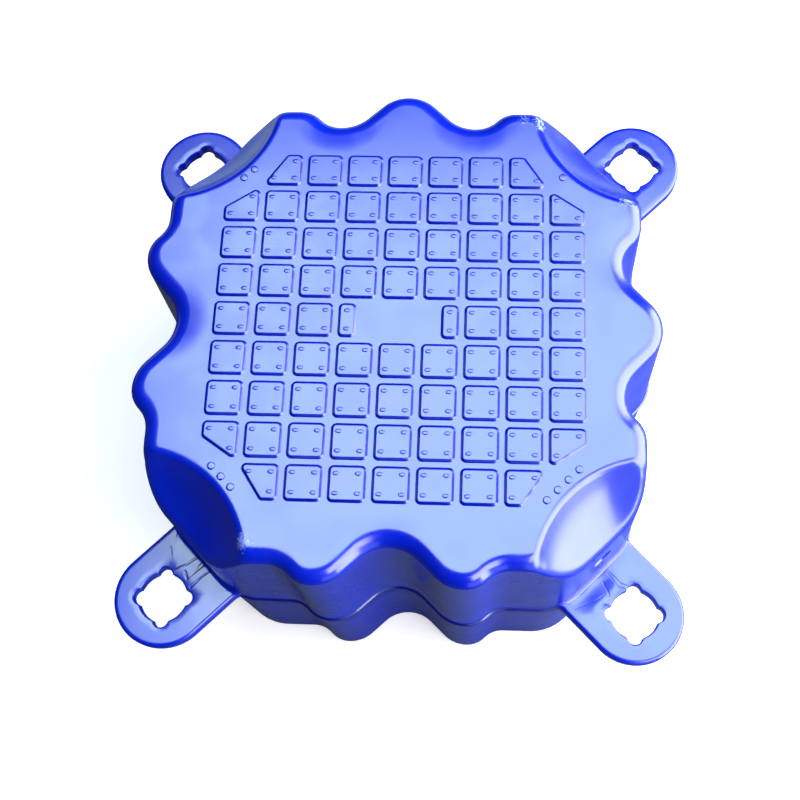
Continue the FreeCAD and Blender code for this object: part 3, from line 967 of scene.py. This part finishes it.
class Finish:
    """Blue moulded plastic of one kind of piece, with its own wear."""

    def __init__(self, name):
        self.looks = bpy.context.scene.plastic_looks
        self.material = bpy.data.materials.new(name)
        self.material.use_nodes = True
        self.sheet = Sheet(self.material.node_tree)
        self.pale, self.dark, self.sags = [], [], []

    def scuff(self, place, reach, strength):
        """Pale spot at a place in millimetres."""
        values = {"Place": metres(place), "Reach": reach * MM, "Strength": strength}
        self.pale.append(self.sheet.group(scuffed_spot, **values)["Mask"])

    def crease(self, start, end, width, flare, strength):
        """Crease between two places in millimetres, darkened with painted shade."""
        values = {"Start": metres(start), "End": metres(end), "Width": width * MM, "Flare": flare}
        self.dark.append(self.sheet.group(crease_line, **values, Strength=strength)["Line"])

    def sag(self, place, reach, depth):
        """Shallow hollow about a place, all in millimetres."""
        values = {"Place": metres(place), "Reach": reach * MM, "Depth": depth}
        self.sags.append(self.sheet.group(soft_sag, **values)["Height"])

    def marked_shade(self):
        """Painted shade along the rows that the mesh marks, over the parting bead."""
        self.dark.append(self.sheet.node("Attribute", attribute_name="mark").outputs["Fac"])

    def foot_shade(self, low, high, strength):
        """Band of painted shade up to a height in millimetres."""
        height = self.sheet.node("SeparateXYZ", self.sheet.place()).outputs["Z"]
        self.dark.append(self.sheet.ramp(height, high * MM, low * MM, 0.0, strength))

    def made(self, ripple, peel, scratches=0.0, crease_depth=0.0):
        """Join everything in the shader."""
        sheet, looks = self.sheet, self.looks
        shader = self.material.node_tree.nodes["Principled BSDF"]
        surface = sheet.group(mould_surface, Ripple=ripple, Peel=peel)
        if scratches:
            self.pale.append(sheet.group(fine_scratches, Amount=scratches)["Mask"])
        pale = sheet.most(self.pale)
        tint = sheet.blend(surface["Shade"], (*looks.deep_blue, 1), (*looks.blue, 1))
        height = surface["Height"]
        # Painted shade: the dark masks of creases, bead rows and feet pull the colour towards the shade
        # colour, and dent the bump by the crease depth
        if self.dark:
            dark = sheet.most(self.dark)
            tint = sheet.blend(sheet.math("MULTIPLY", dark, DARKEST), tint, (*looks.shade, 1))
            height = sheet.math("MULTIPLY_ADD", dark, -crease_depth, height)
        for sag in self.sags:
            height = sheet.math("ADD", height, sag)
        tint = sheet.blend(pale, tint, (*looks.scuffed, 1))
        sheet.feed(shader.inputs["Base Color"], tint)
        gloss = sheet.ramp(surface["Gloss"], 0.0, 1.0, looks.smoothest, looks.roughest)
        sheet.feed(shader.inputs["Roughness"], sheet.math("MULTIPLY_ADD", pale, SCUFF_ROUGHNESS, gloss))
        bump = sheet.node("Bump")
        bump.inputs["Distance"].default_value = MM
        sheet.feed(bump.inputs["Height"], height)
        sheet.feed(shader.inputs["Normal"], bump.outputs["Normal"])
        shader.inputs["IOR"].default_value = PLASTIC_IOR
        shader.inputs["Specular IOR Level"].default_value = PLASTIC_SHINE
        return self.material


# Wear, in millimetres. Scuffs have a place in plan, a depth below the deck, a reach and a strength
SHELL_SCUFFS = (((137, 229), 7, 11, 1.0), ((138, 221), 2, 7, 0.7), ((122, 229), 6, 11, 0.45),
                ((227, 137), 4, 11, 1.0), ((-136, -224), 2, 11, 0.5))
# Sags of the deck have a place in plan and a depth
DECK_SAGS = (((0, -238), 4.0), ((-238, 0), 3.0), ((238, 71), 3.0), ((238, -71), 3.0),
             ((71, 238), 2.0), ((-71, 238), 2.0))
DECK_SAG_REACH = 52
# The painted shade at the foot of raised details fades between these heights above the deck
FOOT_SHADE, FOOT_SHADE_STRENGTH = (0.8, 1.9), 0.75
# Creases, by the number of their lug, have a start and an end in plan, a width, a flare and a strength;
# each is dented and darkened with painted shade
LUG_CREASES = {
    2: (((-240, -220.5), (-228, -215), 1.3, 0.0, 1.0),
        ((-228, -215), (-215, -204.5), 1.4, 0.3, 1.0),
        ((-222.5, -228), (-210, -212.5), 1.0, 2.6, 1.0),
        ((-220.5, -238), (-211.5, -228.5), 2.0, -0.3, 0.7),
        ((-211.5, -228.5), (-201, -219), 1.5, 0.4, 1.0),
        ((-228, -222), (-225, -229.5), 2.2, 0.0, 0.5),
        ((-246.5, -195), (-244, -208), 0.9, 0.0, 0.45)),
    3: (((223, -205.5), (235, -216.5), 1.0, 0.0, 0.6),
        ((235, -216.5), (243.5, -221), 1.0, 0.0, 0.5),
        ((221.5, -207), (232, -220.5), 1.0, 0.0, 0.45),
        ((232, -220.5), (238.5, -223.5), 1.0, 0.0, 0.35),
        ((217.5, -218.5), (223.5, -231.5), 1.6, 0.0, 0.4),
        ((187, -246.5), (206.5, -237), 1.2, 0.0, 0.35),
        ((206.5, -237), (217.5, -232), 1.2, 0.0, 0.3)),
}
# Hollows worn into the last lug, in plan, all of one reach and depth
LUG_SAGS = ((196, -234), (213, -217))
LUG_SAG_REACH, LUG_SAG_DEPTH = 22, 2.0


def deck_level():
    """Height of the deck in millimetres."""
    return bpy.context.scene.float_sizes.height / MM


def lug_level(number):
    """Height of one lug's upper face in millimetres."""
    lugs = bpy.context.scene.lug_sizes
    return (parting_height(lugs, number) + 0.5 * lugs.thickness) / MM


def shell_plastic():
    """Finish of the shell, scuffed where the deck's rim comes to points, with painted shade over the
    parting bead.
    """
    finish = Finish("shell_plastic")
    for plan, below, reach, strength in SHELL_SCUFFS:
        finish.scuff((*plan, deck_level() - below), reach, strength)
    for plan, depth in DECK_SAGS:
        finish.sag((*plan, deck_level()), DECK_SAG_REACH, depth)
    finish.marked_shade()
    return finish.made(ripple=0.2, peel=0.003)


def tread_plastic():
    """Finish of the raised details, with painted shade round their feet."""
    finish = Finish("tread_plastic")
    finish.foot_shade(*(deck_level() + above for above in FOOT_SHADE), FOOT_SHADE_STRENGTH)
    return finish.made(ripple=0.1, peel=0.003, scratches=0.05)


def lug_plastic():
    """Finish of the lugs, creased where the front ones have been bent, with painted shade along the
    creases.
    """
    finish = Finish("lug_plastic")
    for number, creases in LUG_CREASES.items():
        for start, end, width, flare, strength in creases:
            level = lug_level(number)
            finish.crease((*start, level), (*end, level), width, flare, strength)
    for plan in LUG_SAGS:
        finish.sag((*plan, lug_level(-1)), LUG_SAG_REACH, LUG_SAG_DEPTH)
    return finish.made(ripple=0.25, peel=0.008, scratches=0.15, crease_depth=0.6)


# Camera, from the pads' grid and the lug holes in the photograph
CAMERA_PLACE = Vector((0.0860, -0.4489, 1.5069))
CAMERA_HEADING = -7.88
CAMERA_ELEVATION = 70.42
CAMERA_ROLL = 6.22
CAMERA_LENS = 54.66
CAMERA_SENSOR = 36.0
CAMERA_SHIFT = (-0.0358, -0.0271)
CAMERA_CLIP = (0.05, 50.0)
# Lamps: name, middle, what they face, width and height, strength and tint
LAMPS = (
    ("lamp_top", (0.275, 0.56, 2.6), (0.275, 0.56, 0), (2.45, 1.85), 4.8, (0.74, 1.0, 1.0)),
    ("lamp_right", (1.3, -0.15, 0.61), (0, -0.15, 0.61), (2.7, 1.18), 6.0, (0.9, 1.0, 1.0)),
    ("lamp_right_high", (1.3, 0.05, 1.7), (0, 0.05, 1.7), (2.3, 1.0), 4.0, (0.85, 1.0, 1.0)),
    ("lamp_front_strip", (1.0, -1.32, 1.95), (0, -0.2, 1.95), (0.85, 1.7), 4.8, (0.96, 1.0, 1.0)),
    ("lamp_front_low", (0.8, -1.7, 0.45), (0.3, 0, 0.45), (0.95, 0.9), 0.6, (0.8, 1.0, 1.0)),
)
FLOOR_SIZE = 6.0
# Metres from the float's middle between which the floor's colours give way to one another
NEAR_TO_FAR, FRONT_TO_BACK, LEFT_TO_RIGHT = (0.42, 0.56), (0.45, 0.65), (0.4, 0.6)
# Metres over which the floor glows more for the camera, and how much it glows there
GLOW_REACH, GLOW = (1.0, 4.0), (0.5, 1.0)


def place_camera():
    data = bpy.data.cameras.new("camera")
    data.lens, data.sensor_width = CAMERA_LENS, CAMERA_SENSOR
    data.shift_x, data.shift_y = CAMERA_SHIFT
    data.clip_start, data.clip_end = CAMERA_CLIP
    heading, rise, roll = (math.radians(a) for a in (CAMERA_HEADING, CAMERA_ELEVATION, CAMERA_ROLL))
    level = math.cos(rise)
    forward = Vector((math.sin(heading) * level, math.cos(heading) * level, -math.sin(rise)))
    right = Vector((math.cos(heading), -math.sin(heading), 0))
    down = forward.cross(right)
    across = right * math.cos(roll) + down * math.sin(roll)
    under = down * math.cos(roll) - right * math.sin(roll)
    camera = placed("camera", data)
    turn = Matrix((across, -under, -forward)).transposed().to_4x4()
    camera.matrix_world = Matrix.Translation(CAMERA_PLACE) @ turn
    bpy.context.scene.camera = camera


def area_lamp(name, middle, target, size, strength, tint):
    """Lamp of a width and height, as strong as a white panel that renders at this many times white."""
    data = bpy.data.lights.new(name, "AREA")
    data.shape = "RECTANGLE"
    data.size, data.size_y = size
    data.energy = strength * math.pi * size[0] * size[1]
    data.color = tint
    lamp = placed(name, data)
    lamp.location = middle
    lamp.rotation_euler = (Vector(target) - Vector(middle)).to_track_quat("-Z", "Y").to_euler()
    lamp.visible_camera = False


def floor_material(looks):
    """Pale floor that the camera sees in white, and that throws less light back on the float."""
    material = bpy.data.materials.new("floor")
    material.use_nodes = True
    sheet = Sheet(material.node_tree)
    shader = material.node_tree.nodes["Principled BSDF"]
    shader.inputs["Roughness"].default_value = 1.0
    shader.inputs["Emission Color"].default_value = (1, 1, 1, 1)
    seen = sheet.node("LightPath").outputs["Is Camera Ray"]
    place = sheet.place()
    away = sheet.vector("DISTANCE", place, (0, 0, 0))
    parts = sheet.node("SeparateXYZ", place).outputs
    bounce = (*looks.floor_near, 1)
    for along, reach, shade in ((away, NEAR_TO_FAR, looks.floor_far),
                                (parts["Y"], FRONT_TO_BACK, looks.floor_back),
                                (parts["X"], LEFT_TO_RIGHT, looks.floor_right)):
        bounce = sheet.blend(sheet.ramp(along, *reach), bounce, (*shade, 1))
    glow = sheet.math("MULTIPLY", seen, sheet.ramp(away, *GLOW_REACH, *GLOW))
    sheet.feed(shader.inputs["Base Color"], sheet.blend(seen, bounce, (*looks.floor, 1)))
    sheet.feed(shader.inputs["Emission Strength"], glow)
    return material


def build_floor(looks):
    bm = bmesh.new()
    bmesh.ops.create_grid(bm, x_segments=1, y_segments=1, size=FLOOR_SIZE)
    placed("floor", mesh_of(bm, "floor", floor_material(looks)))


def build_world(looks):
    world = bpy.data.worlds.new("studio")
    world.use_nodes = True
    sheet = Sheet(world.node_tree)
    seen = sheet.node("LightPath").outputs["Is Camera Ray"]
    sheet.feed(world.node_tree.nodes["Background"].inputs["Color"],
               sheet.blend(seen, (*looks.surroundings, 1), (1, 1, 1, 1)))
    bpy.context.scene.world = world


def build_stage():
    looks = bpy.context.scene.plastic_looks
    build_floor(looks)
    build_world(looks)
    for lamp in LAMPS:
        area_lamp(*lamp)
    bpy.context.scene.view_settings.view_transform = "Standard"
    place_camera()


class DOCK_OT_shell(bpy.types.Operator):
    """Build the wavy moulded shell with its rim, scoops and parting bead"""
    bl_idname = "dock.shell"
    bl_label = "Shell"

    def execute(self, context):
        build_shell()
        return {"FINISHED"}


class DOCK_OT_pads(bpy.types.Operator):
    """Build the tread pads with their pips"""
    bl_idname = "dock.pads"
    bl_label = "Tread pads"

    def execute(self, context):
        build_pads()
        return {"FINISHED"}


class DOCK_OT_dots(bpy.types.Operator):
    """Build the number dots beside the scoops"""
    bl_idname = "dock.dots"
    bl_label = "Number dots"

    def execute(self, context):
        build_dots()
        return {"FINISHED"}


class DOCK_OT_lugs(bpy.types.Operator):
    """Build the four corner lugs"""
    bl_idname = "dock.lugs"
    bl_label = "Corner lugs"

    def execute(self, context):
        build_lugs()
        return {"FINISHED"}


class DOCK_OT_stage(bpy.types.Operator):
    """Set up the floor, the lights and the camera"""
    bl_idname = "dock.stage"
    bl_label = "Stage"

    def execute(self, context):
        build_stage()
        return {"FINISHED"}


OPERATORS = (DOCK_OT_shell, DOCK_OT_pads, DOCK_OT_dots, DOCK_OT_lugs, DOCK_OT_stage)


class DOCK_PT_panel(bpy.types.Panel):
    """Sizes, colours and steps of the dock float"""
    bl_label = "Dock Float"
    bl_idname = "DOCK_PT_panel"
    bl_space_type = "VIEW_3D"
    bl_region_type = "UI"
    bl_category = "Dock Float"

    def draw(self, context):
        for name in GROUPS:
            box = self.layout.box()
            group = getattr(context.scene, name)
            for key in group.__annotations__:
                box.prop(group, key)
        for operator in OPERATORS:
            self.layout.operator(operator.bl_idname)


GROUPS = {"float_sizes": FloatSizes, "lug_sizes": LugSizes, "tread_sizes": TreadSizes,
          "plastic_looks": PlasticLooks}
CLASSES = (*GROUPS.values(), *OPERATORS, DOCK_PT_panel)


def register():
    for made in CLASSES:
        bpy.utils.register_class(made)
    for name, group in GROUPS.items():
        setattr(bpy.types.Scene, name, PointerProperty(type=group))


def unregister():
    for name in GROUPS:
        delattr(bpy.types.Scene, name)
    for made in reversed(CLASSES):
        bpy.utils.unregister_class(made)


def main():
    register()
    bpy.ops.dock.shell()
    bpy.ops.dock.pads()
    bpy.ops.dock.dots()
    bpy.ops.dock.lugs()
    bpy.ops.dock.stage()


if __name__ == "__main__":
    main()
